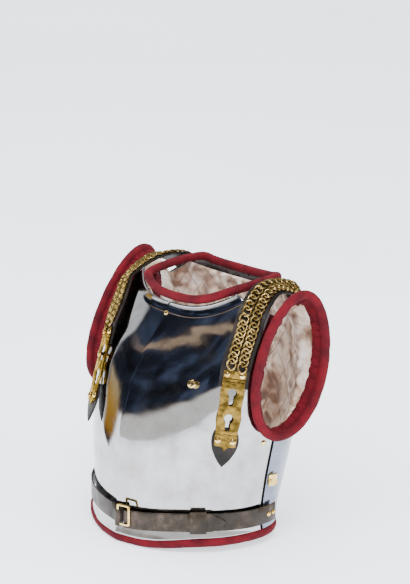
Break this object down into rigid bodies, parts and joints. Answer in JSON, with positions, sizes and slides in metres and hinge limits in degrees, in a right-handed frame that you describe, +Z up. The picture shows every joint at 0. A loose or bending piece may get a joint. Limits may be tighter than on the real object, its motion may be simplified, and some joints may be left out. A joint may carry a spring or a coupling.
{
  "type": "cuirass",
  "caption": "Cavalry cuirass: ridged steel breastplate and backplate, red rolled borders, chained shoulder straps with keyhole plates and a buckled leather belt.",
  "frame": {"origin": "middle of the hem's footprint, on the surface that the cuirass stands on", "axes": "+Z up along the wearer's spine, +X towards the wearer's left arm, +Y towards the wearer's back"},
  "size_m": [0.418, 0.2982, 0.3966],
  "materials": {
    "polished_steel": "polished",
    "brass": "satin",
    "red_wool": "matte",
    "cream_quilt": "matte",
    "belt_leather": "satin",
    "strap_leather": "satin"
  },
  "bodies": {
    "root": {"breastplate": "polished_steel", "backplate": "polished_steel", "front_lining": "cream_quilt", "back_lining": "cream_quilt", "neck_roll": "red_wool", "hem_roll": "red_wool", "belt_left": "belt_leather", "belt_right": "belt_leather", "belt_keeper": "belt_leather", "buckle": "brass", "arm_roll_left": "red_wool", "shoulder_strap_left": "strap_leather", "strap_tip_left": "strap_leather", "key_plate_left": "brass", "strap_end_left": "brass", "chain_inner_left": "brass", "chain_outer_left": "brass", "clasp_left": "brass", "head_rivet_left_1": "brass", "foot_rivet_left_1": "brass", "rear_rivet_left_1": "brass", "belt_rivet_left_1": "brass", "head_rivet_left_2": "brass", "foot_rivet_left_2": "brass", "rear_rivet_left_2": "brass", "belt_rivet_left_2": "brass", "stud_left": "brass", "side_rivet_left": "brass", "arm_roll_right": "red_wool", "shoulder_strap_right": "strap_leather", "strap_tip_right": "strap_leather", "key_plate_right": "brass", "strap_end_right": "brass", "chain_inner_right": "brass", "chain_outer_right": "brass", "clasp_right": "brass", "head_rivet_right_1": "brass", "foot_rivet_right_1": "brass", "rear_rivet_right_1": "brass", "belt_rivet_right_1": "brass", "head_rivet_right_2": "brass", "foot_rivet_right_2": "brass", "rear_rivet_right_2": "brass", "belt_rivet_right_2": "brass", "stud_right": "brass", "side_rivet_right": "brass", "neck_rivet": "brass"}
  },
  "joints": []
}
